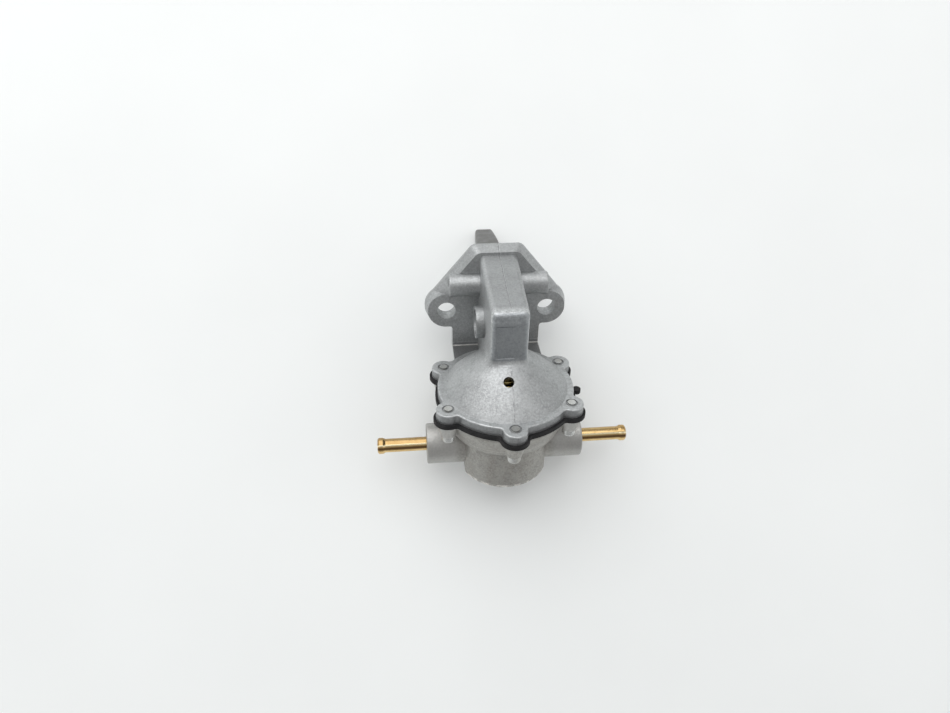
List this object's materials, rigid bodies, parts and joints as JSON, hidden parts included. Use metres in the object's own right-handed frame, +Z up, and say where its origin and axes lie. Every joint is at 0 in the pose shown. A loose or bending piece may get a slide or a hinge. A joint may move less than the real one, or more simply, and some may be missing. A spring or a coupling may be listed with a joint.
{
  "type": "mechanical diaphragm fuel pump",
  "caption": "Engine-driven diaphragm fuel pump with a cast housing, rocker arm, mounting flange and brass hose nipples.",
  "frame": {"origin": "midway between the two mounting bolt holes, on the mounting face", "axes": "+Y towards the engine, out of the mounting face; +X along the hose nipples, towards the outlet; +Z up the diaphragm axis, from the bowl to the rocker tower"},
  "size_m": [0.1176, 0.123, 0.0926],
  "materials": {
    "housing_casting": "satin die casting",
    "body_casting": "satin die casting",
    "diaphragm_rubber": "matte",
    "seal_rubber": "matte",
    "valve_rubber": "matte",
    "plated_steel": "yellow zinc plating",
    "bright_steel": "ground",
    "spring_steel": "yellow zinc plating",
    "lever_steel": "dull forged steel",
    "screw_steel": "zinc plated",
    "valve_brass": "as turned",
    "nipple_brass": "polished"
  },
  "bodies": {
    "casing": {"rocker_housing": "housing_casting", "lower_body": "body_casting", "diaphragm": "diaphragm_rubber", "diaphragm_spring": "spring_steel", "rod_seal": "seal_rubber", "seal_retainer": "plated_steel", "rocker_pin": "bright_steel", "pin_washers": "bright_steel", "rocker_spring": "spring_steel", "inlet_valve_cage": "valve_brass", "inlet_valve_spring": "bright_steel", "inlet_valve_gasket": "seal_rubber", "outlet_valve_cage": "valve_brass", "outlet_valve_spring": "bright_steel", "outlet_valve_gasket": "seal_rubber", "inlet_nipple": "nipple_brass", "outlet_nipple": "nipple_brass", "body_screws": "screw_steel", "screw_washers": "screw_steel"},
    "arm": {"rocker_arm": "lever_steel"},
    "link": {"link_lever": "lever_steel"},
    "pull_group": {"pull_rod": "bright_steel", "upper_diaphragm_plate": "plated_steel", "lower_diaphragm_plate": "plated_steel"},
    "inlet_flap": {"inlet_valve_disc": "valve_rubber"},
    "outlet_flap": {"outlet_valve_disc": "valve_rubber"}
  },
  "joints": [
    {"name": "rocker_pivot", "type": "hinge", "parent": "casing", "child": "arm", "pos_m": [0, -0.0088, 0.0146], "axis": [-1, 0, 0], "range_deg": [0, 5.5], "stiffness_Nm_per_rad": 4, "springref_deg": -10.08, "deforming": ["rocker_spring"]},
    {"name": "link_pivot", "type": "hinge", "parent": "casing", "child": "link", "pos_m": [0, -0.0088, 0.0146], "axis": [-1, 0, 0], "range_deg": [0, 5.6]},
    {"name": "diaphragm_stroke", "type": "slide", "parent": "casing", "child": "pull_group", "axis": [0, 0, 1], "range_m": [0, 0.0034], "stiffness_N_per_m": 60, "springref_m": -0.006, "deforming": ["diaphragm_spring", "diaphragm"]},
    {"name": "inlet_valve_lift", "type": "slide", "parent": "casing", "child": "inlet_flap", "axis": [0, 0, 1], "range_m": [0, 0.0015], "stiffness_N_per_m": 40, "springref_m": -0.001, "deforming": ["inlet_valve_spring"]},
    {"name": "outlet_valve_lift", "type": "slide", "parent": "casing", "child": "outlet_flap", "axis": [0, 0, -1], "range_m": [0, 0.0015], "stiffness_N_per_m": 40, "springref_m": -0.001, "deforming": ["outlet_valve_spring"]}
  ],
  "couplings": [
    {"joint": "link_pivot", "follows": "rocker_pivot", "ratio": 1},
    {"joint": "diaphragm_stroke", "follows": "rocker_pivot", "m_per_rad": 0.0345}
  ]
}
